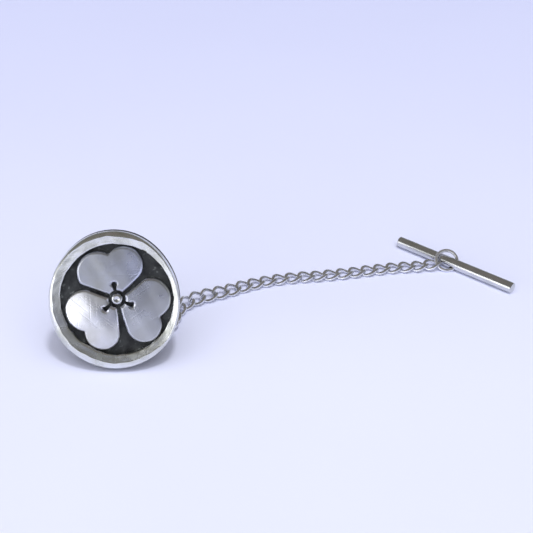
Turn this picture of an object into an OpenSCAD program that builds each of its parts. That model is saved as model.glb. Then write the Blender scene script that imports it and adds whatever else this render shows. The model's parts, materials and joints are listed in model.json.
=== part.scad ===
// Tie tack: an overlay-work head with a nail post, a ball-lock clutch, a curb chain and a toggle bar.
// The head leans back on its clutch, and the chain and the bar lie on the table at z = 0.

/* [Head] */
// Width of the oval head
head_w = 13.9; // [13.5:0.05:14.8]
// Height of the oval head
head_h = 14.9; // [14.6:0.05:15.5]
// Thickness of the back plate
plate_t = 0.9; // [0.7:0.05:1.1]
// Radius of the round recess inside the rim
recess_r = 6.0; // [5.8:0.05:6.1]
// Sideways offset of the recess from the middle of the oval
recess_x = 0.26; // [0:0.02:0.3]
// Upward offset of the recess from the middle of the oval
recess_y = 0.2; // [0:0.02:0.3]
// Height of the rim over the back plate
rim_rise = 0.8; // [0.6:0.05:1.0]

/* [Flower] */
// Height of the petals over the back plate
petal_rise = 0.5; // [0.3:0.05:0.6]
// Direction of the first petal, counted from the right
petal_first = 100; // [90:1:110]
// Sideways offset of each lobe of a petal
lobe_x = 1.7; // [1.6:0.05:1.8]
// Distance of the lobes from the centre
lobe_y = 3.56; // [3.4:0.02:3.6]
// Radius of a lobe
lobe_r = 1.92; // [1.8:0.02:1.96]
// Gap between two petals
petal_gap = 0.4; // [0.3:0.05:0.6]
// Radius of the ring groove round the boss
groove_r = 1.0; // [0.9:0.05:1.1]
// Radius of the centre boss
boss_r = 0.64; // [0.5:0.02:0.7]

/* [Post] */
// Radius of the post
post_r = 0.55; // [0.5:0.05:0.6]
// Radius of the post's shoulder, which the cloth sits round and the clutch stops at
shoulder_r = 0.73; // [0.72:0.01:0.76]
// Length of the post behind the back plate
post_len = 9.3; // [9:0.1:9.5]
// Radius of the solder pad
pad_r = 1.5; // [1.2:0.1:1.8]
// Thickness of the solder pad
pad_t = 0.5; // [0.3:0.1:0.6]

/* [Clutch] */
// Gap between the back plate and the clutch, for the cloth
cloth_gap = 3.2; // [2.8:0.1:3.3]
// Radius of the brim
brim_r = 4.8; // [4.4:0.1:5]
// Thickness of the brim
brim_t = 0.5; // [0.4:0.05:0.55]
// Outer radius of the barrel
barrel_r = 2.75; // [2.7:0.05:2.8]
// Outer radius of the pull cap
cap_r = 3.3; // [3.25:0.05:3.5]
// Distance of the cap's end from the back plate
cap_end = 10.1; // [10:0.05:10.4]
// Travel of the pull cap
cap_travel = 0.6; // [0.5:0.05:0.6]

/* [Chain] */
// Number of curb links
link_count = 24; // [24:1:24]
// Wire radius of a link
link_wire = 0.18; // [0.16:0.01:0.19]
// Half the width of a link, at the middle of its wire
link_half_w = 0.69; // [0.66:0.01:0.7]
// Twist of a link from its middle to each end
link_twist = 45; // [42:1:48]
// Play between two neighbouring wires
link_play = 0.05; // [0.04:0.01:0.06]
// Wire radius of the jump rings
ring_wire = 0.19; // [0.17:0.01:0.2]
// Direction of the swivel tab's ear round the clutch, counted from the right
tab_turn = -40; // [-42:1:-38]
// Radius of the ring on the swivel tab, at the middle of its wire
tab_ring_r = 0.85; // [0.8:0.05:0.9]

/* [Toggle] */
// Length of the bar
bar_len = 15.8; // [14:0.1:18]
// Radius of the bar
bar_r = 0.64; // [0.62:0.01:0.66]
// Radius of the cross hole
bar_hole_r = 0.41; // [0.4:0.01:0.42]
// Angle of the bar across the chain
bar_turn = 38.3; // [36:0.1:40]
// Radius of the ring in the cross hole, at the middle of its wire
toggle_ring_r = 1.25; // [1.24:0.01:1.26]

/* [Hidden] */

function link_name(i) = str("link_", i < 10 ? "0" : "", i);

// Lean: the head stands on the lower edge of its plate and on the round shoulder of the cap.
cap_round = 0.4;
stand_rise = head_h / 2 - (cap_r - cap_round);
stand_run = cap_end - cap_round;
lean = atan2(stand_rise, stand_run) - asin(cap_round / norm([stand_rise, stand_run]));
head_z = head_h / 2 * cos(lean);
head_y = head_h / 2 * sin(lean);

// The post's root is a thinner peg, which fills the hole of the solder pad
peg_r = post_r - 0.05;
shoulder_end = cloth_gap - 0.15;

// Clutch, as distances behind the back plate
running_play = 0.07;
bore_r = post_r + running_play;
brim_back = cloth_gap + brim_t;
roll_back = brim_back + 0.2;
tab_front = roll_back + 0.1;
tab_t = 0.35;
seat_front = 4.7;
seat_back = 6.9;
seat_r0 = 1.03;
seat_r1 = 1.83;
cavity_r = 2.4;
barrel_back = 8.5;
retainer_t = 0.3;
retainer_bore = 1.3;
stem_r = 1.15;
ball_r = 0.4;
ball_at = 5.5;
ball_ring = 0.87;
cage_front = 5.0;
cage_r = 0.9;
flange_front = 7.0;
flange_t = 0.3;
flange_r = 1.9;
cap_wall = 0.3;
cap_front = 5.0;
cap_floor = cap_end - 0.5;
spring_r = 1.65;
spring_wire = 0.12;
spring_turns = 3;

// Ear of the swivel tab
ear_at = 5.6;
ear_r = 0.8;
ear_hole_r = 0.42;
ear_mid = tab_front + tab_t / 2;

// Placing: a point given in the head's own frame, x right, y up its face, z out of its face
function in_room(p) = [
    p[0],
    head_y + p[1] * sin(lean) - p[2] * cos(lean),
    head_z + p[1] * cos(lean) + p[2] * sin(lean)];
function unit(v) = v / norm(v);

// Toggle: the middle of the bar and the plane of its ring
bar_mid = [38.4, 19.2, bar_r];
toggle_ring_mid = bar_mid + [-0.95, 0.35, 0.3];
toggle_ring_normal = [0, -0.6, 0.8];
bar_hole_rise = 40;
// Direction on the toggle's ring where the last link hooks in, counted from the right
hook_turn = 200;
hook_reach = toggle_ring_r - ring_wire - link_play / 2;

// The ring on the tab: its wire goes through the ear's hole and it hangs down and back from there
tab_hang = unit([0.5, 0.4, -0.4]);
ear_wire_out = ear_at + 0.1;
ear_wire_back = ear_mid - 0.3;
tab_wire_at = in_room([ear_wire_out * cos(tab_turn), ear_wire_out * sin(tab_turn), -ear_wire_back]);
tab_ring_mid = tab_wire_at + tab_ring_r * tab_hang;
tab_ring_normal = unit(cross(tab_hang, [0, -cos(lean), sin(lean)]));

// Route of the chain: round points chosen along its run, from the tab's ring to the toggle's ring
tab_ring_play = 0.06;
chain_start = tab_ring_mid + (tab_ring_r - ring_wire - link_play / 2 - tab_ring_play) * tab_hang;
chain_end = toggle_ring_mid + hook_reach * [cos(hook_turn), sin(hook_turn) * toggle_ring_normal[2],
    -sin(hook_turn) * toggle_ring_normal[1]];
route = [
    chain_start,
    [5.85, 7.1, 1.1],
    [5.95, 8.3, 0.95],
    [6.2, 9.45, 0.9],
    [6.85, 10.6, 0.87],
    [7.95, 11.5, 0.83],
    [9.5, 12.4, 0.76],
    [11.3, 13.2, 0.66],
    [13.5, 14.5, 0.54],
    [16.3, 15.7, 0.46],
    [19.3, 16.4, 0.46],
    [22.2, 16.8, 0.46],
    [25.0, 17.3, 0.46],
    [28.1, 18.0, 0.46],
    [31.0, 18.6, 0.46],
    [33.9, 18.9, 0.5],
    chain_end];
route_steps = 12;

// Smooth curve through the route (Catmull-Rom), as a list of points
function route_at(k) = route[max(0, min(len(route) - 1, k))];
function blend(a, b, c, d, t) =
    0.5 * (2 * b + (c - a) * t + (2 * a - 5 * b + 4 * c - d) * t * t
    + (3 * b - a - 3 * c + d) * t * t * t);
fine = [for (k = [0 : len(route) - 2], s = [0 : route_steps - 1])
    blend(route_at(k - 1), route_at(k), route_at(k + 1), route_at(k + 2), s / route_steps),
    chain_end];

// Running length of the curve, and the point at a given length
function add_up(list, k, total) =
    k == len(list) ? [] : let (t = total + (k == 0 ? 0 : norm(list[k] - list[k - 1])))
    concat([t], add_up(list, k + 1, t));
run_list = add_up(fine, 0, 0);
chain_len = run_list[len(run_list) - 1];
function segment(s, k) = k >= len(run_list) - 2 || run_list[k + 1] >= s ? k : segment(s, k + 1);
function along(s) = let (k = segment(s, 0), t = (s - run_list[k]) / (run_list[k + 1] - run_list[k]))
    fine[k] + t * (fine[k + 1] - fine[k]);

// Links: the joints between them divide the curve evenly
pitch = chain_len / link_count;
link_half_l = pitch / 2 + link_wire + link_play / 2;
function joint_at(i) = along(min(chain_len, max(0, i * pitch)));
function link_mid(i) = (joint_at(i - 1) + joint_at(i)) / 2;
function link_dir(i) = unit(joint_at(i) - joint_at(i - 1));
// The first links stand twisted up on the table; the others lie flat with a little unevenness
twisted_links = 11;
function link_roll(i) = i < twisted_links ? 6 * (twisted_links - i) : 1.5 * sin(137 * i);

// Wire of a link: an oval of half length and half width whose plane turns along its length
function oval(t) = let (turn = -link_twist * cos(t))
    [link_half_l * cos(t), link_half_w * sin(t) * cos(turn), link_half_w * sin(t) * sin(turn)];
function heading(t) = unit(oval(t + 1) - oval(t - 1));
function outward(t) = let (p = oval(t), h = heading(t)) unit(p - (p * h) * h);
link_rings = 24;
link_sides = 8;

// Outline of the head
outline_steps = 72;
function oval_edge(a) = [head_w / 2 * cos(a), head_h / 2 * sin(a)];
function recess_edge(a) = [recess_x + recess_r * cos(a), recess_y + recess_r * sin(a)];

// Section of the rim: share of its width from inside to outside, and share of its height
rim_section = [[0, 0], [0, 0.55], [0.12, 0.8], [0.3, 0.95], [0.5, 1], [0.7, 0.95], [0.88, 0.78],
    [1, 0.5], [1, 0]];

// Middle of the whole object's box, which the model is centred on
far_right = bar_mid[0] + bar_len / 2 * cos(bar_turn) + bar_r * sin(bar_turn);
far_back = bar_mid[1] + bar_len / 2 * sin(bar_turn) + bar_r * cos(bar_turn);
far_front = in_room([0, -head_h / 2, plate_t + rim_rise * 0.6])[1];
centre = [(far_right - head_w / 2) / 2, (far_back + far_front) / 2, 0];

$fn = 64;
eps = 0.01;

// ---- Frames -------------------------------------------------------------------------------

module room() {
    translate(-centre) children();
}

module head_frame() {
    room() translate([0, head_y, head_z]) rotate([90 - lean, 0, 0]) children();
}

// A child drawn round +Z is turned so that +Z becomes the given direction
module facing(dir) {
    rotate([0, acos(dir[2]), atan2(dir[1], dir[0])]) children();
}

// ---- Head ---------------------------------------------------------------------------------

module back_plate() {
    color("dimgray") head_frame() linear_extrude(plate_t)
        polygon([for (i = [0 : outline_steps - 1]) oval_edge(360 * i / outline_steps)]);
}

module rim() {
    n = len(rim_section);
    points = [for (i = [0 : outline_steps - 1], q = rim_section)
        let (a = 360 * i / outline_steps, p = recess_edge(a) * (1 - q[0]) + oval_edge(a) * q[0])
        [p[0], p[1], plate_t + rim_rise * q[1]]];
    faces = [for (i = [0 : outline_steps - 1], j = [0 : n - 1])
        let (i2 = (i + 1) % outline_steps, j2 = (j + 1) % n)
        each [[i * n + j, i * n + j2, i2 * n + j2], [i * n + j, i2 * n + j2, i2 * n + j]]];
    color("silver") head_frame() polyhedron(points, faces);
}

// A heart: two lobes and a filler, kept between two gap lines, less the groove and the keyhole
module petal_outline() {
    half_gap = petal_gap / 2;
    reach = 3 * recess_r;
    apex = half_gap / sin(60);
    side = [lobe_x + lobe_r * cos(60), lobe_y - lobe_r * sin(60)];
    key_at = 1.55;
    difference() {
        intersection() {
            union() {
                for (s = [-1, 1]) translate([s * lobe_x, lobe_y]) circle(lobe_r);
                translate([0, lobe_y - 0.6]) circle(lobe_r + 0.05);
                polygon([[0, 0], side, [0, lobe_y], [-side[0], side[1]]]);
            }
            polygon([[0, apex], [reach * sin(60), apex + reach * cos(60)], [0, 2 * reach],
                [-reach * sin(60), apex + reach * cos(60)]]);
        }
        circle(groove_r);
        translate([0, key_at]) circle(0.28);
        translate([-0.125, 0]) square([0.25, key_at]);
    }
}

module petal(k) {
    color("lightgray") head_frame() translate([recess_x, recess_y, plate_t])
        rotate(petal_first - 90 - 120 * k) linear_extrude(petal_rise) petal_outline();
}

module centre_boss() {
    dimple_r = 0.25;
    color("lightgray") head_frame() translate([recess_x, recess_y, plate_t]) difference() {
        cylinder(h = petal_rise, r1 = boss_r, r2 = boss_r - 0.12);
        translate([0, 0, petal_rise + 0.1]) sphere(dimple_r);
    }
}

module post_pad() {
    color("silver") head_frame() translate([0, 0, -pad_t]) difference() {
        cylinder(h = pad_t, r1 = pad_r - 0.3, r2 = pad_r);
        translate([0, 0, -eps]) cylinder(h = pad_t + 2 * eps, r = peg_r);
    }
}

module post() {
    neck_r = 0.45;
    color("silver") head_frame() rotate_extrude() polygon([
        [0, 0], [peg_r, 0], [peg_r, -pad_t], [shoulder_r, -pad_t], [shoulder_r, -shoulder_end],
        [post_r, -shoulder_end], [post_r, -(ball_at - 0.45)], [neck_r, -(ball_at - 0.25)],
        [neck_r, -(ball_at + 0.25)], [post_r, -(ball_at + 0.45)], [post_r, -(post_len - 1.1)],
        [0.08, -post_len], [0, -post_len]]);
}

// ---- Clutch -------------------------------------------------------------------------------

module clutch_base() {
    color("gainsboro") head_frame() rotate_extrude() polygon([
        [bore_r, -cloth_gap], [brim_r - 0.2, -cloth_gap], [brim_r, -(cloth_gap + 0.2)],
        [brim_r, -(roll_back - 0.15)], [brim_r - 0.15, -roll_back], [brim_r - 0.35, -roll_back],
        [brim_r - 0.5, -brim_back], [barrel_r, -brim_back], [barrel_r, -barrel_back],
        [cavity_r, -barrel_back], [cavity_r, -seat_back], [seat_r1, -seat_back],
        [seat_r0, -seat_front], [bore_r, -seat_front]]);
}

module spring_retainer() {
    color("silver") head_frame() translate([0, 0, -(barrel_back + retainer_t)]) difference() {
        cylinder(h = retainer_t, r = barrel_r);
        translate([0, 0, -eps]) cylinder(h = retainer_t + 2 * eps, r = retainer_bore);
    }
}

module clutch_cap() {
    skirt_r = cap_r - cap_wall;
    color("gainsboro") head_frame() rotate_extrude() difference() {
        union() {
            translate([0, -(cap_end - cap_round)]) square([cap_r, cap_end - cap_round - cap_front]);
            translate([0, -cap_end]) square([cap_r - cap_round, cap_end - cap_front]);
            translate([cap_r - cap_round, -(cap_end - cap_round)]) circle(cap_round);
        }
        translate([-eps, -cap_floor]) square([skirt_r + eps, cap_floor - cap_front + eps]);
        translate([-2 * cap_r, -2 * cap_end]) square([2 * cap_r, 2 * cap_end]);
    }
}

module ball_cage() {
    color("burlywood") head_frame() difference() {
        rotate_extrude() polygon([
            [bore_r, -cage_front], [cage_r, -cage_front], [cage_r, -flange_front],
            [flange_r, -flange_front], [flange_r, -(flange_front + flange_t)],
            [stem_r, -(flange_front + flange_t)], [stem_r, -cap_floor], [bore_r, -cap_floor]]);
        for (k = [0 : 2]) rotate(120 * k + 30) translate([0, 0, -ball_at]) rotate([0, 90, 0])
            cylinder(h = 2 * cage_r, r = ball_r + 0.04);
    }
}

module lock_balls() {
    color("white") head_frame() for (k = [0 : 2])
        rotate(120 * k + 30) translate([ball_ring, 0, -ball_at]) sphere(ball_r);
}

module release_spring() {
    front = flange_front + flange_t + spring_wire;
    back = barrel_back - spring_wire;
    color("silver") head_frame() for (k = [0 : spring_turns - 1])
        translate([0, 0, -(front + (back - front) * k / (spring_turns - 1))])
        rotate_extrude() translate([spring_r, 0]) circle(spring_wire, $fn = 24);
}

module swivel_tab() {
    eye_r = barrel_r + 0.1;
    eye_out = barrel_r + 0.7;
    color("gainsboro") head_frame() rotate(tab_turn) translate([0, 0, -(tab_front + tab_t)])
    difference() {
        union() {
            cylinder(h = tab_t, r = eye_out);
            translate([ear_at, 0, 0]) cylinder(h = tab_t, r = ear_r);
            translate([eye_r + 0.2, -0.65, 0]) cube([ear_at - eye_r - 0.2, 1.3, tab_t]);
        }
        translate([0, 0, -eps]) cylinder(h = tab_t + 2 * eps, r = eye_r);
        translate([ear_at, 0, -eps]) cylinder(h = tab_t + 2 * eps, r = ear_hole_r);
    }
}

// ---- Chain and toggle ---------------------------------------------------------------------

module wire_ring(mid, normal, r) {
    color("silver") room() translate(mid) facing(normal)
        rotate_extrude() translate([r, 0]) circle(ring_wire, $fn = 32);
}

module tab_ring() {
    wire_ring(tab_ring_mid, tab_ring_normal, tab_ring_r);
}

module curb_link(i) {
    dir = link_dir(i);
    points = [for (k = [0 : link_rings - 1], s = [0 : link_sides - 1])
        let (t = 360 * k / link_rings, a = 360 * s / link_sides, out = outward(t),
            up = cross(heading(t), out))
        oval(t) + link_wire * (cos(a) * out + sin(a) * up)];
    faces = [for (k = [0 : link_rings - 1], s = [0 : link_sides - 1])
        let (k2 = (k + 1) % link_rings, s2 = (s + 1) % link_sides, m = link_sides)
        each [[k * m + s, k * m + s2, k2 * m + s2], [k * m + s, k2 * m + s2, k2 * m + s]]];
    color("darkgray") room() translate(link_mid(i))
        rotate([link_roll(i), -asin(dir[2]), atan2(dir[1], dir[0])]) polyhedron(points, faces);
}

module toggle_ring() {
    wire_ring(toggle_ring_mid, toggle_ring_normal, toggle_ring_r);
}

module toggle_bar() {
    chamfer = 0.12;
    color("silver") room() translate(bar_mid) rotate([0, 0, -bar_turn]) difference() {
        rotate([0, 90, 0]) rotate_extrude() polygon([
            [0, -bar_len / 2], [bar_r - chamfer, -bar_len / 2], [bar_r, chamfer - bar_len / 2],
            [bar_r, bar_len / 2 - chamfer], [bar_r - chamfer, bar_len / 2], [0, bar_len / 2]]);
        rotate([bar_hole_rise - 90, 0, 0]) cylinder(h = 4 * bar_r, r = bar_hole_r, center = true);
    }
}

// ---- Nodes --------------------------------------------------------------------------------

back_plate();
rim();
petal(0);  // petal_1
petal(1);  // petal_2
petal(2);  // petal_3
centre_boss();
post_pad();
post();
clutch_base();
spring_retainer();
clutch_cap();
ball_cage();
lock_balls();
release_spring();
swivel_tab();
tab_ring();
for (i = [1 : link_count]) curb_link(i);
toggle_ring();
toggle_bar();
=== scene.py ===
import json
import math

import bmesh
import bpy
import numpy as np
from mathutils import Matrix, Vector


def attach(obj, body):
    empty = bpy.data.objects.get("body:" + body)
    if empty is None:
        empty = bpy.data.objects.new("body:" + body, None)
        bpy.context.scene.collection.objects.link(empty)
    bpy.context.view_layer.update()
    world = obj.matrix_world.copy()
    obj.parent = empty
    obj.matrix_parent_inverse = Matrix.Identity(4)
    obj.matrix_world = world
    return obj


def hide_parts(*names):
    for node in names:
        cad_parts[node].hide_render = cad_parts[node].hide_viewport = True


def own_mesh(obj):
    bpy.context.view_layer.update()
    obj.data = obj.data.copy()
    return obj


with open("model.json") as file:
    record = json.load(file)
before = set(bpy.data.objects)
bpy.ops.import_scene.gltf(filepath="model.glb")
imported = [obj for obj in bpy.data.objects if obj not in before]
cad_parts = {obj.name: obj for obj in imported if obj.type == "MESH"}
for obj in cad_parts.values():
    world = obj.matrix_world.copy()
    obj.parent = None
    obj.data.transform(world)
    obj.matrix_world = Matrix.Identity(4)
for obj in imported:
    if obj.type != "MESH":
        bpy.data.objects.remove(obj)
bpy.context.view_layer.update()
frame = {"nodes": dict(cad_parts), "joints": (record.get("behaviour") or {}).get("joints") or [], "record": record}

mm = 0.001


# --- Table, light and camera -------------------------------------------------------------------
# The tack lies on a pale sheet that runs on behind it. A soft lamp hangs above and in front, a weak
# sun comes over the right shoulder, a white panel stands on the left, and the room above is dark.

class Sock:
    """A shader socket with arithmetic: an expression on values adds the Math nodes it needs."""

    def __init__(self, tree, socket):
        self.tree = tree
        self.socket = socket

    def math(self, operation, *values):
        return node(self.tree, "ShaderNodeMath", {"operation": operation}, dict(enumerate(values)))

    def __add__(self, other):
        return self.math("ADD", self, other)

    def __sub__(self, other):
        return self.math("SUBTRACT", self, other)

    def __mul__(self, other):
        return self.math("MULTIPLY", self, other)

    def __truediv__(self, other):
        return self.math("DIVIDE", self, other)

    def __radd__(self, other):
        return self.math("ADD", other, self)

    def __rsub__(self, other):
        return self.math("SUBTRACT", other, self)

    def __rmul__(self, other):
        return self.math("MULTIPLY", other, self)

    def power(self, other):
        return self.math("POWER", self, other)

    def clamp(self):
        return self.math("MAXIMUM", self.math("MINIMUM", self, 1.0), 0.0)


def node(tree, kind, settings=None, inputs=None, output=0):
    """Adds a node: its settings first, then a value or a link for each named or numbered socket."""
    made = tree.nodes.new(kind)
    for name, value in (settings or {}).items():
        if name == "stops":
            ramp = made.color_ramp
            while len(ramp.elements) < len(value):
                ramp.elements.new(0.5)
            for element, (place, colour) in zip(ramp.elements, value):
                element.position = place
                element.color = colour if hasattr(colour, "__len__") else (colour, colour, colour, 1)
        else:
            setattr(made, name, value)
    for name, value in (inputs or {}).items():
        if isinstance(value, Sock):
            tree.links.new(value.socket, made.inputs[name])
        else:
            made.inputs[name].default_value = value
    return Sock(tree, made.outputs[output])


def axes_of(tree, vector):
    """The x, y and z of a vector socket, each as a number socket."""
    return [node(tree, "ShaderNodeSeparateXYZ", {}, {0: vector}, k) for k in range(3)]


world = bpy.data.worlds.new("room")
world.use_nodes = True
bpy.context.scene.world = world
sky = world.node_tree
sky.nodes.clear()
ray = node(sky, "ShaderNodeTexCoord")
ray_x, ray_y, ray_z = axes_of(sky, ray)
room = node(sky, "ShaderNodeValToRGB", {"stops": [
    (0.0, (0.80, 0.82, 0.98, 1)),
    (0.49, (0.80, 0.82, 0.98, 1)),
    (0.51, (1.10, 1.12, 1.20, 1)),
    (0.53, (1.05, 1.07, 1.15, 1)),
    (0.57, (0.38, 0.40, 0.50, 1)),
    (0.62, (0.20, 0.21, 0.27, 1)),
    (0.70, (0.20, 0.20, 0.195, 1)),
    (0.85, (0.19, 0.187, 0.165, 1)),
    (1.0, (0.23, 0.205, 0.20, 1))]}, {0: ray_z * 0.5 + 0.5})
panel_turn = math.radians(52)
ahead = ray_x * -math.sin(panel_turn) - ray_y * math.cos(panel_turn)
beside = node(sky, "ShaderNodeMath", {"operation": "ABSOLUTE"}, {
    0: ray_x * math.cos(panel_turn) - ray_y * math.sin(panel_turn)})
above = node(sky, "ShaderNodeMath", {"operation": "ABSOLUTE"}, {0: ray_z - 0.18})
panel = ((0.58 - beside) * 5.0).clamp() * ((0.26 - above) * 7.0).clamp() * (ahead * 10.0).clamp()
lit = node(sky, "ShaderNodeMix", {"data_type": "RGBA"}, {0: panel, 6: room, 7: (2.6, 2.62, 2.7, 1)}, 2)
backdrop = node(sky, "ShaderNodeBackground", {}, {"Color": lit, "Strength": 1.0})
sky_out = sky.nodes.new("ShaderNodeOutputWorld")
sky.links.new(backdrop.socket, sky_out.inputs["Surface"])


def soft_lamp(name, place, aim, width, height, power, colour):
    """A rectangular area lamp at one place that faces another."""
    data = bpy.data.lights.new(name, "AREA")
    data.shape = "RECTANGLE"
    data.size = width
    data.size_y = height
    data.energy = power
    data.color = colour
    lamp = bpy.data.objects.new(name, data)
    bpy.context.scene.collection.objects.link(lamp)
    lamp.location = place
    way = Vector(aim) - Vector(place)
    lamp.rotation_euler = way.to_track_quat("-Z", "Y").to_euler()
    return lamp


ceiling = soft_lamp("ceiling", (0, -0.5, 1.0), (0, 0, 0), 1.6, 1.6, 13.5, (1.0, 1.0, 1.0))
ceiling.visible_glossy = False
sun_data = bpy.data.lights.new("window", "SUN")
sun_data.energy = 1.15
sun_data.angle = math.radians(7)
window = bpy.data.objects.new("window", sun_data)
bpy.context.scene.collection.objects.link(window)
window.rotation_euler = Vector((0.14, -0.27, 1)).to_track_quat("Z", "Y").to_euler()
window.visible_glossy = False

floor_mesh = bpy.data.meshes.new("table")
half_table = 1.2
floor_mesh.from_pydata(
    [(x * half_table, y * half_table, 0) for x, y in ((-1, -1), (1, -1), (1, 1), (-1, 1))],
    [], [(0, 1, 2, 3)])
table = bpy.data.objects.new("table", floor_mesh)
bpy.context.scene.collection.objects.link(table)
paper = bpy.data.materials.new("pale_paper")
paper.use_nodes = True
paper_tree = paper.node_tree
paper_shader = paper_tree.nodes["Principled BSDF"]
paper_place = node(paper_tree, "ShaderNodeTexCoord", output=3)
paper_grain = node(paper_tree, "ShaderNodeTexNoise", {}, {"Vector": paper_place, "Scale": 30.0})
paper_shade = node(paper_tree, "ShaderNodeMix", {"data_type": "RGBA"}, {
    0: paper_grain, 6: (0.69, 0.72, 0.92, 1), 7: (0.72, 0.75, 0.95, 1)}, 2)
paper_depth = axes_of(paper_tree, paper_place)[1]
# Painted shade: the sheet's colour is multiplied darker towards the back, from 15 mm in front of the middle to
# about 96 mm behind it.
paper_painted_falloff = node(paper_tree, "ShaderNodeMix", {"data_type": "RGBA", "blend_type": "MULTIPLY"}, {
    0: ((paper_depth + 0.015) * 9.0).clamp(), 6: paper_shade, 7: (0.84, 0.85, 0.95, 1)}, 2)
paper_tree.links.new(paper_painted_falloff.socket, paper_shader.inputs["Base Color"])
paper_shader.inputs["Roughness"].default_value = 0.6
floor_mesh.materials.append(paper)

camera_height = math.radians(34)
camera_data = bpy.data.cameras.new("camera")
camera_data.sensor_width = 36
camera_data.lens = 95.2
camera_data.clip_start = 0.01
camera = bpy.data.objects.new("camera", camera_data)
bpy.context.scene.collection.objects.link(camera)
aim = Vector((-2.92, 0.65, 4.76)) * mm
away = Vector((0, -math.cos(camera_height), math.sin(camera_height)))
camera_distance = 159 * mm
camera.location = aim + camera_distance * away
roll = Matrix.Rotation(math.radians(0.42), 3, away)
camera.rotation_euler = (roll @ away.to_track_quat("Z", "Y").to_matrix()).to_euler()
bpy.context.scene.camera = camera
bpy.context.scene.view_settings.view_transform = "Standard"


# --- Back plate --------------------------------------------------------------------------------
# An oval silver plate, sawn from sheet and blackened on its face, which shows as the dark ground
# between the petals. The clutch's slide gives the way the head faces, and the post its middle.
record = frame["record"]
mounts = {mount["name"]: mount for mount in record["mounts"]}
joints = {joint["name"]: joint for joint in frame["joints"]}
back = np.array(joints["clutch_off"]["axis"])
face = -back / np.linalg.norm(back)
across = np.array([1.0, 0.0, 0.0])
upward = np.cross(face, across)
post_middle = 1.775 * mm
head_middle = np.array(mounts["post"]["pos_m"]) + post_middle * face


def on_head(x, y, z):
    """Points given in millimetres right of, above and out of the plate's back, put in place."""
    x, y, z = np.broadcast_arrays(x, y, z)
    return head_middle + mm * (x[..., None] * across + y[..., None] * upward + z[..., None] * face)


def waves(a, b, *terms):
    """Sum of amount * sin(k a + m b + shift) over the terms (amount, k, m, shift)."""
    return sum(amount * np.sin(k * a + m * b + shift) for amount, k, m, shift in terms)


def skin(name, points, body, material, stands_for, around=True, along=True, caps=(), sharp=40):
    """A closed surface over a grid of points (rows, columns, 3). Rows and columns can each run
    round to the start. caps lists rows of points that are each filled with one flat face."""
    rows, columns = points.shape[:2]
    index = np.arange(rows * columns).reshape(rows, columns)
    i = np.arange(rows if along else rows - 1)
    j = np.arange(columns if around else columns - 1)
    i, j = np.meshgrid(i, j, indexing="ij")
    i2, j2 = (i + 1) % rows, (j + 1) % columns
    quads = np.stack([index[i, j], index[i2, j], index[i2, j2], index[i, j2]], -1).reshape(-1, 4)
    faces = quads.tolist() + [index[row].tolist() for row in caps]
    mesh = bpy.data.meshes.new(name)
    mesh.from_pydata(points.reshape(-1, 3).tolist(), [], faces)
    return finish_mesh(name, mesh, body, material, stands_for, sharp)


def finish_mesh(name, mesh, body, material, stands_for, sharp=40):
    """Closes a mesh's seams, turns its faces outward, smooths it and hangs it on its body."""
    shape = bmesh.new()
    shape.from_mesh(mesh)
    bmesh.ops.remove_doubles(shape, verts=shape.verts, dist=0.0005 * mm)
    bmesh.ops.dissolve_degenerate(shape, edges=shape.edges, dist=0.0002 * mm)
    bmesh.ops.recalc_face_normals(shape, faces=shape.faces)
    if shape.calc_volume(signed=True) < 0:
        bmesh.ops.reverse_faces(shape, faces=shape.faces)
    shape.to_mesh(mesh)
    shape.free()
    mesh.polygons.foreach_set("use_smooth", np.ones(len(mesh.polygons), bool))
    mesh.set_sharp_from_angle(angle=math.radians(sharp))
    mesh.materials.append(material)
    piece = bpy.data.objects.new(name, mesh)
    bpy.context.scene.collection.objects.link(piece)
    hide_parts(*stands_for)
    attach(piece, body)
    return piece


def outline(angle, inset=0.0):
    """The head's hand-filed oval: an ellipse with a few small low waves, less the inset."""
    swell = 1 + waves(angle, 0, (0.006, 1, 0, 2.36), (0.009, 3, 0, -2.98), (0.0015, 7, 0, 0.3))
    return (half_wide - inset) * swell * np.cos(angle), (half_high - inset) * swell * np.sin(angle)


half_wide, half_high = 6.95, 7.45
plate_t = 0.9

# Black silver sulphide on the ground: matte, faintly mottled, with worn grey flecks
black = bpy.data.materials.new("blackened_ground")
black.use_nodes = True
tree = black.node_tree
shader = tree.nodes["Principled BSDF"]
place = node(tree, "ShaderNodeTexCoord", output=3)
mottle = node(tree, "ShaderNodeTexNoise", {}, {"Vector": place, "Scale": 900.0, "Detail": 6.0})
fleck = node(tree, "ShaderNodeTexNoise", {}, {"Vector": place, "Scale": 2600.0, "Detail": 2.0})
worn = ((fleck - 0.60) * 9.0).clamp() * ((mottle - 0.42) * 5.0).clamp()
ground = node(tree, "ShaderNodeMix", {"data_type": "RGBA"}, {
    0: ((mottle - 0.35) * 2.2).clamp(), 6: (0.010, 0.011, 0.013, 1), 7: (0.050, 0.054, 0.056, 1)}, 2)
shade = node(tree, "ShaderNodeMix", {"data_type": "RGBA"}, {
    0: worn * 0.5, 6: ground, 7: (0.22, 0.24, 0.24, 1)}, 2)
tree.links.new(shade.socket, shader.inputs["Base Color"])
shader.inputs["Metallic"].default_value = 0.25
tree.links.new((0.62 - 0.2 * worn).socket, shader.inputs["Roughness"])
pits = node(tree, "ShaderNodeBump", {}, {"Strength": 0.9, "Distance": 0.00006, "Height": fleck + mottle})
tree.links.new(pits.socket, shader.inputs["Normal"])

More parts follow.
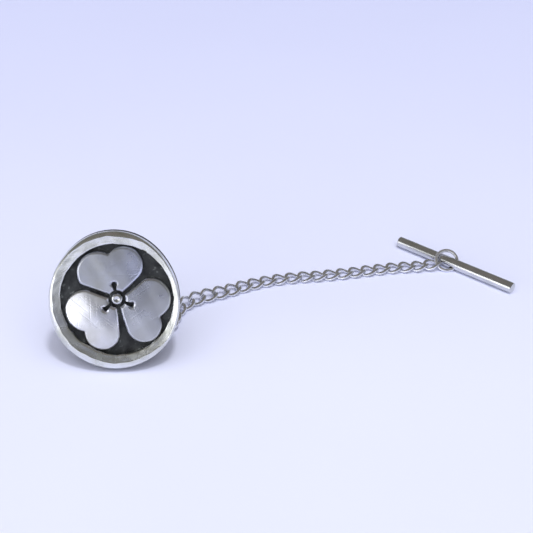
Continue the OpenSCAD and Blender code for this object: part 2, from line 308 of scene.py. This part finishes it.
turn = np.linspace(0, 2 * np.pi, 192, endpoint=False)[:, None]
edge = 0.12
reach = np.concatenate([np.linspace(0, 0.97, 44), np.linspace(0.98, 1, 4)])[None, :]
round_up = np.linspace(0, np.pi / 2, 6)
inset = np.concatenate([[0.0], edge * (1 - np.sin(round_up)), edge * (1 - np.cos(round_up))])
height = np.concatenate([[0.0], edge * (1 - np.cos(round_up)), plate_t - edge * (1 - np.sin(round_up))])
side_x, side_y = outline(turn, inset[None, 1:])
side_z = height[None, 1:] + 0 * side_x
flat_x, flat_y = outline(turn, edge)
ground_x = flat_x * reach[:, ::-1]
ground_y = flat_y * reach[:, ::-1]
ground_z = plate_t + waves(ground_x, ground_y, (0.006, 3.1, 1.2, 0), (0.005, -1.4, 3.7, 2), (0.003, 7, -6, 1))
skin("back_plate", on_head(
    np.concatenate([flat_x * reach, side_x, ground_x], 1),
    np.concatenate([flat_y * reach, side_y, ground_y], 1),
    np.concatenate([0 * flat_x * reach, side_z, ground_z], 1)),
    "head", black, ["back_plate"], around=False)


# --- Rim ----------------------------------------------------------------------------------------
# A heavy ring of silver soldered on the plate and filed by hand: a steep, uneven inner wall, a flat
# band that slopes in a little, a crisp crest, and a rounded outside that meets the plate's edge.
def worked_metal(name, light, dark, rough, cloud=500.0, wave=0.0, grain=0.3, scratch=0.0, lay=0.6):
    """Silver with cloudy tarnish, an uneven polish, a fine grain and long thin scratches. wave,
    grain and scratch are depths in thousandths of a millimetre; lay is the scratches' direction."""
    material = bpy.data.materials.new(name)
    material.use_nodes = True
    tree = material.node_tree
    shader = tree.nodes["Principled BSDF"]
    place = node(tree, "ShaderNodeTexCoord", output=3)
    tarnish = node(tree, "ShaderNodeTexNoise", {}, {"Vector": place, "Scale": cloud, "Detail": 5.0})
    mix = ((tarnish - 0.32) * 2.8).clamp()
    colour = node(tree, "ShaderNodeMix", {"data_type": "RGBA"}, {0: mix, 6: (*dark, 1), 7: (*light, 1)}, 2)
    tree.links.new(colour.socket, shader.inputs["Base Color"])
    shader.inputs["Metallic"].default_value = 1.0
    tree.links.new((rough * (1.3 - 0.6 * mix)).socket, shader.inputs["Roughness"])
    broad = node(tree, "ShaderNodeTexNoise", {}, {"Vector": place, "Scale": 700.0, "Detail": 1.0})
    fine = node(tree, "ShaderNodeTexNoise", {}, {"Vector": place, "Scale": 5000.0, "Detail": 3.0})
    relief = wave * broad + grain * fine
    right, deep, high = axes_of(tree, place)
    rise = deep * float(upward[1]) + high * float(upward[2])
    for angle in (lay, lay + 0.9, lay - 0.5):
        lengthwise = right * (200 * math.cos(angle)) + rise * (200 * math.sin(angle))
        crosswise = rise * (6000 * math.cos(angle)) - right * (6000 * math.sin(angle))
        spot = node(tree, "ShaderNodeCombineXYZ", {}, {0: lengthwise, 1: crosswise, 2: angle})
        line = node(tree, "ShaderNodeTexNoise", {}, {"Vector": spot, "Scale": 1.0, "Detail": 1.0})
        relief = relief - scratch * ((line - 0.63) * 9.0).clamp()
    bump = node(tree, "ShaderNodeBump", {}, {"Strength": 1.0, "Distance": 0.001 * mm, "Height": relief})
    tree.links.new(bump.socket, shader.inputs["Normal"])
    return material


rim_metal = worked_metal("filed_silver", (0.80, 0.81, 0.80), (0.56, 0.57, 0.51), 0.27, 450.0, 9, 0.6, 3)
recess_r, recess_x, recess_y = 5.96, 0.34, 0.20
rim_rise = 0.8
turn = np.linspace(0, 2 * np.pi, 288, endpoint=False)[:, None]
uneven = waves(turn, 0, (0.030, 7, 0, 0.4), (0.022, 11, 0, 2.0), (0.020, 19, 0, 1.0), (0.014, 31, 0, 0.2))
inner_x = recess_x + (recess_r + uneven) * np.cos(turn)
inner_y = recess_y + (recess_r + uneven) * np.sin(turn)
outer_x, outer_y = outline(turn)
width = np.hypot(outer_x - inner_x, outer_y - inner_y)
band = np.minimum(0.9 + waves(turn, 0, (0.04, 3, 0, 1.0), (0.03, 8, 0, 0.5)), 0.76 * width)
crest = np.linspace(0, np.pi / 2, 14)[None, :]
share = np.concatenate([
    0 * width, 0 * width, 0 * width + 0.015, 0 * width + 0.06,
    band * np.linspace(0.12, 0.93, 12)[None, :], band * 0.97, band,
    band + (width - band) * (0.05 + 0.95 * np.sin(crest)), width], 1)
level = np.concatenate([
    0 * width - 0.02, 0 * width + 0.5 + uneven, 0 * width + 0.60 + uneven, 0 * width + 0.655,
    0.68 + 0.11 * np.linspace(0.12, 0.93, 12)[None, :] + 0 * width, 0 * width + 0.797,
    0 * width + rim_rise, 0.10 + 0.69 * np.cos(crest) + 0 * width, 0 * width - 0.02], 1)
away = share / width
hammered = waves(turn, share, (0.004, 13, 3, 0), (0.004, -9, 5, 1.3), (0.003, 29, -6, 2.1), (0.003, 5, 9, 4))
level = level + hammered * np.clip((level - 0.3) * 3, 0, 1)
skin("rim", on_head(
    inner_x + (outer_x - inner_x) * away, inner_y + (outer_y - inner_y) * away, plate_t + level),
    "head", rim_metal, ["rim"])


# --- Petals -------------------------------------------------------------------------------------
# Three heart-shaped petals sawn from sheet by hand, each a little different, soldered on the ground
# and rubbed bright on top. Each has two lobes, rounded edges, and a keyhole saw cut at its root.
petal_rise = 0.5
half_gap = 0.2
groove_r = 0.92
key_reach, key_r = 1.56, 0.28
edge_width, edge_drop = 0.26, 0.17
petal_middle = 3.4
soft = 14.0  # how sharply the two lobes' edges meet


def lobe_edge(angle, lobe_turn, lobe_away, lobe_r):
    """Distance from the flower's middle to the far side of a round lobe, along each angle."""
    off = np.radians(angle - lobe_turn)
    inside = lobe_r**2 - (lobe_away * np.sin(off))**2
    far = lobe_away * np.cos(off) + np.sqrt(np.maximum(inside, 0))
    return np.where(inside > 0, far, 0)


def petal(name, axis, lobes, material, domed, tilt_x=0.0, tilt_y=0.0):
    """A petal as a polar grid about the flower's middle: out to a soft maximum of its lobes, in to
    the groove, the gap lines or the keyhole. Its height is a low dome less a rounded edge, found
    from each point's distance to the nearest point of the petal's own outline."""
    def inner(angle):
        key = np.radians(angle)
        hole = key_reach * np.cos(key) + np.sqrt(np.maximum(key_r**2 - (key_reach * np.sin(key))**2, 0))
        side = half_gap / np.sin(np.radians(60 - np.minimum(np.abs(angle), 59.5)))
        return np.where(np.abs(angle) < 9.3, hole, np.maximum(groove_r, side))

    def outer(angle):
        far = np.log(sum(np.exp(soft * lobe_edge(angle, *lobe)) for lobe in lobes)) / soft
        return far + waves(np.radians(angle), 0, (0.012, 9, 0, axis), (0.010, 21, 0, 2 * axis))

    scan = np.linspace(-59.4, 59.4, 4000)
    there = scan[outer(scan) - inner(scan) > 0.12]
    spread = there[0] + (there[-1] - there[0]) * (0.5 - 0.5 * np.cos(np.linspace(0, np.pi, 130)))
    key_sides = np.array([-9.8, -9.4, -9.32, -9.28, -9.1, 9.1, 9.28, 9.32, 9.4, 9.8])
    angle = np.sort(np.concatenate([spread, key_sides]))[:, None]
    step = 0.5 - 0.5 * np.cos(np.linspace(0, np.pi, 44))[None, :]
    radius = inner(angle) + (outer(angle) - inner(angle)) * step
    way = np.radians(angle + axis)
    x, y = radius * np.cos(way), radius * np.sin(way)
    ring = np.concatenate([
        np.stack([x[:, -1], y[:, -1]], 1), np.stack([x[::-1, 0], y[::-1, 0]], 1),
        np.stack([x[0], y[0]], 1), np.stack([x[-1], y[-1]], 1)])
    gap = np.sqrt((x[..., None] - ring[:, 0])**2 + (y[..., None] - ring[:, 1])**2).min(2)
    drop = edge_drop * np.clip(1 - gap / edge_width, 0, 1)**2.4
    mid_x = petal_middle * math.cos(math.radians(axis))
    mid_y = petal_middle * math.sin(math.radians(axis))
    dome = domed * (1 - ((x - mid_x)**2 + (y - mid_y)**2) / 6.5)
    rub = waves(x, y, (0.012, 1.5, 0.9, axis), (0.009, -1.3, 1.8, 1), (0.003, 3.5, 2.2, 2 * axis))
    z = petal_rise + dome - drop + rub + tilt_x * (x - mid_x) + tilt_y * (y - mid_y)
    x = np.pad(x, 1, mode="edge")
    y = np.pad(y, 1, mode="edge")
    z = np.pad(z, 1, constant_values=-0.03)
    points = on_head(recess_x + x, recess_y + y, plate_t + z)
    rows, columns = x.shape
    index = np.arange(rows * columns).reshape(rows, columns)
    quads = np.stack([index[:-1, :-1], index[1:, :-1], index[1:, 1:], index[:-1, 1:]], -1).reshape(-1, 4)
    under = np.concatenate([index[0, :], index[1:, -1], index[-1, -2::-1], index[-2:0:-1, 0]])
    mesh = bpy.data.meshes.new(name)
    mesh.from_pydata(points.reshape(-1, 3).tolist(), [], quads.tolist() + [under[::-1].tolist()])
    return finish_mesh(name, mesh, "head", material, [name], 50)


# Painted shade: petals 1 and 2 get darker copies of the silver than petal 3, for the duller light they catch.
# Petal 3 keeps the lightest copy.
petal("petal_1", 100, [(-21.5, 3.72, 2.02), (24.5, 3.42, 2.27)], worked_metal(
    "rubbed_silver_1_painted_shade", (0.62, 0.65, 0.78), (0.46, 0.47, 0.45), 0.33, 260.0, 5, 0.5, 3, 0.5),
    domed=0.05, tilt_x=-0.01, tilt_y=0.005)
petal("petal_2", -20, [(21.0, 3.50, 2.20), (-24.1, 4.00, 1.92)], worked_metal(
    "rubbed_silver_2_painted_shade", (0.60, 0.62, 0.69), (0.52, 0.53, 0.54), 0.33, 260.0, 4, 0.5, 3, 1.1),
    domed=0.04, tilt_x=-0.02)
petal("petal_3", 220, [(26.5, 4.05, 1.86), (-18.8, 3.58, 2.24)], worked_metal(
    "rubbed_silver_3", (0.84, 0.85, 0.92), (0.58, 0.58, 0.56), 0.30, 260.0, 5, 0.5, 4, 1.6),
    domed=0.12, tilt_x=0.065)


# --- Centre boss --------------------------------------------------------------------------------
# A small cast bead soldered in the middle of the flower, with a shallow dimple punched in its top.
def turned(name, corners, body, material, stands_for, middle=(0, 0), steps=96, sharp=40):
    """A shape turned about a line square to the head. corners are (radius, height, rounding) round
    its section in millimetres; each corner is cut by a curve that starts and ends that far off."""
    section = []
    for k, (radius, height, rounding) in enumerate(corners):
        here = np.array([radius, height])
        before = np.array(corners[k - 1][:2]) - here
        after = np.array(corners[(k + 1) % len(corners)][:2]) - here
        t = np.linspace(0, 1, 7 if rounding else 1)[:, None]
        start = here + before * min(0.49, rounding / np.hypot(*before))
        end = here + after * min(0.49, rounding / np.hypot(*after))
        section.append((1 - t)**2 * start + 2 * t * (1 - t) * here + t**2 * end if rounding else here[None])
    section = np.concatenate(section)
    turn = np.linspace(0, 2 * np.pi, steps, endpoint=False)[:, None]
    radius, height = section[None, :, 0], section[None, :, 1]
    return skin(name, on_head(
        middle[0] + radius * np.cos(turn), middle[1] + radius * np.sin(turn), height + 0 * turn),
        body, material, stands_for, sharp=sharp)


boss_top = plate_t + 0.5
turned("centre_boss", [
    (0, plate_t - 0.02, 0), (0.60, plate_t - 0.02, 0), (0.66, plate_t + 0.2, 0.12),
    (0.52, boss_top - 0.02, 0.16), (0.28, boss_top, 0.08), (0.12, boss_top - 0.09, 0.07),
    (0, boss_top - 0.10, 0)], "head",
    worked_metal("bead_silver", (0.80, 0.81, 0.83), (0.55, 0.56, 0.57), 0.22, 900.0, 12, 0.5),
    ["centre_boss"], (recess_x, recess_y), 64)


# --- Post ---------------------------------------------------------------------------------------
# A nail post of drawn wire, soldered in a small pad on the plate's back. It is left thicker where
# the cloth sits, and has a groove that the clutch's balls drop into and a ground point.
wire_metal = worked_metal("drawn_wire", (0.78, 0.79, 0.82), (0.66, 0.67, 0.70), 0.20, 500.0, 3, 0.3, 1)
turned("post_pad", [
    (0.5, 0, 0), (0.5, -0.5, 0), (1.18, -0.5, 0.15), (1.48, 0, 0)],
    "head", wire_metal, ["post_pad"])
turned("post", [
    (0, 0, 0), (0.49, 0, 0), (0.49, -0.5, 0), (0.73, -0.5, 0.04), (0.73, -3.05, 0.06),
    (0.55, -3.05, 0), (0.55, -5.05, 0.08), (0.45, -5.25, 0.08),
    (0.45, -5.75, 0.08), (0.55, -5.95, 0.08), (0.55, -8.2, 0.3), (0.05, -9.28, 0.05), (0, -9.3, 0)],
    "head", wire_metal, ["post"], steps=64)


# --- Clutch -------------------------------------------------------------------------------------
# A plated ball-lock clutch pressed from sheet: a round base with a rolled brim, a collar that
# closes it, and a pull cap joined to the brass cage, which holds three steel balls on the post.
plated = worked_metal("white_plating", (0.82, 0.82, 0.84), (0.74, 0.74, 0.76), 0.16, 350.0, 6, 0.3, 1)
turned("clutch_base", [
    (0.62, -3.2, 0.05), (4.6, -3.2, 0.15), (4.8, -3.4, 0.1), (4.8, -3.75, 0.1), (4.6, -3.9, 0.1),
    (4.42, -3.88, 0.06), (4.3, -3.7, 0.08), (2.75, -3.7, 0.12), (2.75, -8.5, 0.1), (2.4, -8.5, 0.05),
    (2.4, -6.9, 0), (1.83, -6.9, 0.05), (1.03, -4.7, 0.1), (0.62, -4.7, 0.05)],
    "clutch", plated, ["clutch_base"], steps=128)
turned("spring_retainer", [
    (1.3, -8.5, 0.05), (2.74, -8.5, 0.02), (2.74, -8.8, 0.06), (1.3, -8.8, 0.06)],
    "clutch", plated, ["spring_retainer"])
turned("clutch_cap", [
    (3.02, -5.0, 0.06), (3.3, -5.0, 0.1), (3.3, -5.5, 0.05), (3.22, -5.65, 0.06), (3.3, -5.8, 0.06),
    (3.3, -8.9, 0.06), (3.22, -9.05, 0.06), (3.3, -9.2, 0.06), (3.3, -10.1, 0.55), (1.5, -10.1, 0.1),
    (1.35, -10.04, 0.1), (0, -10.04, 0), (0, -9.6, 0), (3.0, -9.6, 0.25)],
    "release", plated, ["clutch_cap"], steps=128)
brass = worked_metal("turned_brass", (0.80, 0.62, 0.32), (0.62, 0.45, 0.20), 0.3, 600.0, 3, 0.5, 1)
turned("ball_cage", [
    (0.62, -6.2, 0), (0.9, -6.2, 0.04), (0.9, -7.0, 0.03), (1.9, -7.0, 0.06), (1.9, -7.3, 0.06),
    (1.15, -7.3, 0.03), (1.15, -9.6, 0), (0.62, -9.6, 0)],
    "release", brass, ["ball_cage"], steps=64)
frame["nodes"]["lock_balls"].data.materials.clear()
frame["nodes"]["lock_balls"].data.materials.append(
    worked_metal("bearing_steel", (0.70, 0.71, 0.72), (0.6, 0.6, 0.62), 0.1, 900.0))


# --- Release spring -----------------------------------------------------------------------------
# A coil of thin spring wire between the cage's flange and the collar.
def tube(centre, side, up, wire, flat=1.0):
    """Rings of points round a path: centre + wire * (cos a side + flat sin a up)."""
    a = np.linspace(0, 2 * np.pi, 20, endpoint=False)[None, :, None]
    return centre[:, None] + wire * (np.cos(a) * side[:, None] + flat * np.sin(a) * up[:, None])


coil_r, coils, flat_coils, spring_wire = 1.65, 3.4, 0.4, 0.115 * mm
spring_near, spring_rise = 7.42, 0.96
coil = np.linspace(0, 2 * np.pi * coils, 200)
rising = coils - 2 * flat_coils
share_risen = np.clip(coil / (2 * np.pi) - flat_coils, 0, rising) / rising
spring_path = on_head(
    coil_r * np.cos(coil), coil_r * np.sin(coil), -(spring_near + spring_rise * share_risen))
spring_side = np.cos(coil)[:, None] * across + np.sin(coil)[:, None] * upward
spring_up = np.repeat(face[None], len(coil), 0)
release_spring = skin("release_spring", tube(spring_path, spring_side, spring_up, spring_wire),
    "clutch", wire_metal, ["release_spring"], along=False, caps=(0, -1))
collar_front = -8.5
tuple(on_head(0, 0, collar_front))
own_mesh(release_spring)


# --- Swivel tab and its ring --------------------------------------------------------------------
# A flat stamped tab that turns round the clutch's barrel, and a jump ring through the tab's ear. A
# jump ring is a cut turn of wire, and the cut stays as a hair line.
frame["nodes"]["swivel_tab"].data.materials.clear()
frame["nodes"]["swivel_tab"].data.materials.append(plated)
chain_metal = worked_metal("chain_silver", (0.90, 0.90, 0.94), (0.70, 0.71, 0.71), 0.27, 1500.0, 5, 0.2, 1)


def lie(node_name):
    """Middle and axes of a link or ring from its CAD mesh: its points' mean and main directions,
    the longest first, turned right-handed. Their half lengths come too."""
    mesh = frame["nodes"][node_name].data
    points = np.empty(len(mesh.vertices) * 3)
    mesh.vertices.foreach_get("co", points)
    points = np.unique(points.reshape(-1, 3).round(8), axis=0)
    middle = points.mean(0)
    axes = np.linalg.eigh(np.cov((points - middle).T))[1][:, ::-1].T
    axes[2] = np.cross(axes[0], axes[1])
    spans = (points - middle) @ axes.T
    return middle + (spans.max(0) + spans.min(0)) / 2 @ axes, axes, (spans.max(0) - spans.min(0)) / 2


def jump_ring(name, cut, body, material):
    """A round wire ring with its two ends a hair apart at the cut's angle."""
    middle, axes, half = lie(name)
    wire = half[2]
    radius = (half[0] + half[1]) / 2 - wire
    gap = 0.015 * mm / radius
    a = cut + np.linspace(gap, 2 * np.pi - gap, 120)
    out = np.cos(a)[:, None] * axes[0] + np.sin(a)[:, None] * axes[1]
    rings = tube(middle + radius * out, out, np.repeat(axes[2][None], len(a), 0), wire)
    return skin(name, rings, body,
        material, [name], along=False, caps=(0, -1))


jump_ring("tab_ring", 1.0, "tab_ring", chain_metal)


# --- Chain --------------------------------------------------------------------------------------
# A curb chain of soldered wire links, each twisted from its middle to its ends so that the chain
# lies flat, then rolled a little flatter and tumbled bright.
link_twist = math.radians(45)
flattened = 0.93
wire, half_w = 0.18 * mm, 0.69 * mm
around_link = np.linspace(0, 2 * np.pi, 72, endpoint=False)


def curb_path(t, half_l, half_w):
    """Middle of a link's wire: (l cos t, w sin t cos u, w sin t sin u), u = -twist cos t."""
    u = -link_twist * np.cos(t)
    return np.stack([half_l * np.cos(t), half_w * np.sin(t) * np.cos(u), half_w * np.sin(t) * np.sin(u)], 1)


link_names = sorted(name for name in frame["nodes"] if name.startswith("link_"))
for name in link_names:
    middle, axes, half = lie(name)
    half_l = half[0] - wire
    path = curb_path(around_link, half_l, half_w)
    ahead = curb_path(around_link + 0.01, half_l, half_w) - curb_path(around_link - 0.01, half_l, half_w)
    ahead = ahead / np.linalg.norm(ahead, axis=1)[:, None]
    out = path - (path * ahead).sum(1)[:, None] * ahead
    out = out / np.linalg.norm(out, axis=1)[:, None]
    rings = tube(path, out, np.cross(ahead, out), wire, flattened) @ axes + middle
    skin(name, rings, name, chain_metal, [name])


# --- Toggle ring and bar ------------------------------------------------------------------------
# The bar is a length of drawn silver rod with rounded ends and a hole drilled through its middle;
# the ring goes through the hole and holds the chain's last link.
jump_ring("toggle_ring", 2.4, "toggle_ring", worked_metal(
    "ring_silver", (0.95, 0.95, 0.98), (0.84, 0.85, 0.87), 0.50, 1200.0, 3, 0.2, 1))
# Painted shade: the rod's silver is darker than the other silver parts, for the shaded sheet it reflects low down.
bar_metal_painted_shade = worked_metal("rod_silver_painted_shade", (0.72, 0.72, 0.74), (0.58, 0.59, 0.58), 0.22, 700.0, 1.2, 0.1, 0.5)
bar_way = np.array(mounts["bar"]["axis"])
bar_middle = np.array(mounts["bar"]["pos_m"])
bar_side = np.cross((0, 0, 1), bar_way)
bar_half, bar_r, end_round = 7.9 * mm, 0.64 * mm, 0.16 * mm
hole_r, drill_length = 0.41 * mm, 3 * mm
bend = np.linspace(0, np.pi / 2, 8)
end_r = np.concatenate([[0], bar_r - end_round + end_round * np.sin(bend)])
end_at = np.concatenate([[-bar_half], -bar_half + end_round - end_round * np.cos(bend)])
rod_r = np.concatenate([end_r, end_r[::-1]])[None, :, None]
rod_at = np.concatenate([end_at, -end_at[::-1]])[None, :, None]
turn = np.linspace(0, 2 * np.pi, 96, endpoint=False)[:, None, None]
rod = bar_middle + rod_at * bar_way + rod_r * (
    np.cos(turn) * bar_side + np.sin(turn) * np.array([0, 0, 1.0]))
bar = skin("toggle_bar", rod, "toggle_bar", bar_metal_painted_shade, ["toggle_bar"], around=False)
hole_way = Vector(joints["bar_swing"]["axis"])
bpy.ops.mesh.primitive_cylinder_add(vertices=64, radius=hole_r, depth=drill_length)
drill = bpy.context.object
drill.matrix_world = Matrix.Translation(bar_middle) @ hole_way.to_track_quat("Z", "Y").to_matrix().to_4x4()
cut = bar.modifiers.new("hole", "BOOLEAN")
cut.object = drill
cut.operation = "DIFFERENCE"
cut.solver = "EXACT"
bpy.context.view_layer.update()
drilled = bpy.data.meshes.new_from_object(bar.evaluated_get(bpy.context.evaluated_depsgraph_get()))
bar.modifiers.clear()
bar.data = drilled
bar.data.polygons.foreach_set("use_smooth", np.ones(len(drilled.polygons), bool))
bar.data.set_sharp_from_angle(angle=math.radians(40))
bpy.data.objects.remove(drill)
